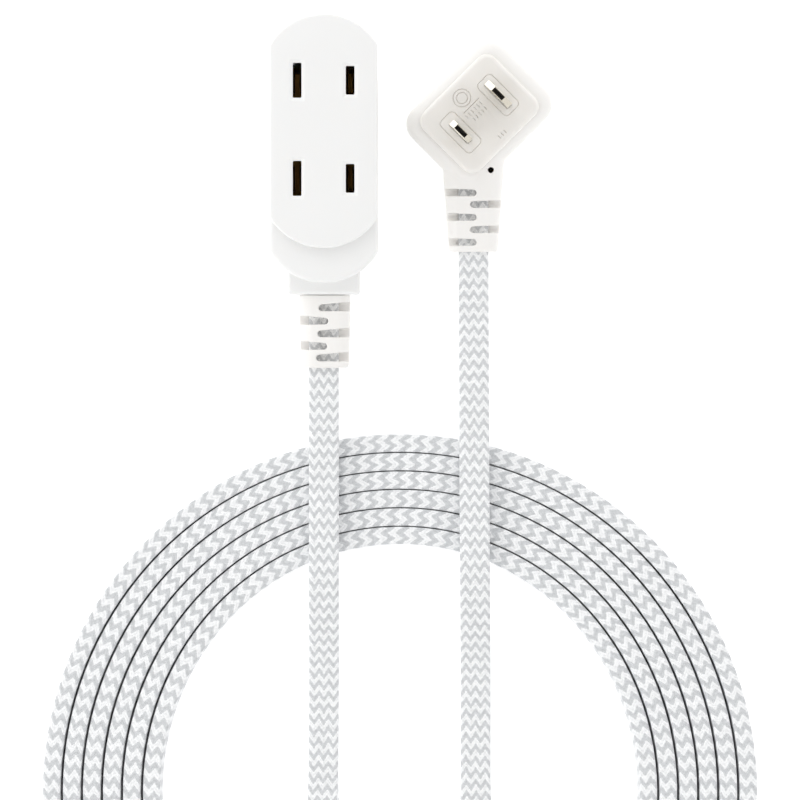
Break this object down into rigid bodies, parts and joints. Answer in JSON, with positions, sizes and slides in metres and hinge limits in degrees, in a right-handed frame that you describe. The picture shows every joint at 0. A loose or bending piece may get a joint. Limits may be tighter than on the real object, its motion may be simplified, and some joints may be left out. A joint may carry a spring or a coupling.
{
  "type": "extension cord",
  "caption": "Flat braided indoor extension cord in a coil, with a two-pole outlet head under a sliding safety cover and an angled flat polarised plug.",
  "frame": {"origin": "middle of the outlet head's own box (cover, shells and strain relief), on the plane that the head, coil and plug lie on", "axes": "+Y along the head, away from its cord; +Z out of the outlet face; +X towards the plug"},
  "size_m": [0.172, 0.273, 0.0287],
  "materials": {
    "shell_plastic": "satin moulded white",
    "flexible_vinyl": "soft satin white",
    "insert_plastic": "slightly clear grey",
    "natural_nylon": "natural",
    "contact_brass": "stamped",
    "tinned_brass": "tin plated",
    "white_insulation": "extruded",
    "black_insulation": "extruded",
    "zinc_plated_steel": "zinc plated",
    "nickel_plated_brass": "nickel plated",
    "cord_braid": "white and grey zigzag braid",
    "tie_strap": "light grey hook and loop"
  },
  "bodies": {
    "cord_set": {"front_shell": "shell_plastic", "back_shell": "shell_plastic", "strain_relief": "flexible_vinyl", "contact_carrier": "natural_nylon", "neutral_bus": "contact_brass", "line_bus": "contact_brass", "neutral_crimp": "tinned_brass", "line_crimp": "tinned_brass", "neutral_lead": "white_insulation", "line_lead": "black_insulation", "shell_screw_top": "zinc_plated_steel", "shell_screw_left": "zinc_plated_steel", "shell_screw_right": "zinc_plated_steel", "plug_body": "flexible_vinyl", "plug_insert": "insert_plastic", "neutral_blade": "nickel_plated_brass", "line_blade": "nickel_plated_brass", "plug_neutral_lead": "white_insulation", "plug_line_lead": "black_insulation", "cord_outlet_run": "cord_braid", "cord_coil": "cord_braid", "cord_plug_run": "cord_braid", "coil_tie": "tie_strap"},
    "cover": {"safety_cover": "shell_plastic"}
  },
  "joints": [
    {"name": "cover_slide", "type": "slide", "parent": "cord_set", "child": "cover", "axis": [0, -1, 0], "range_m": [0, 0.0083]}
  ]
}
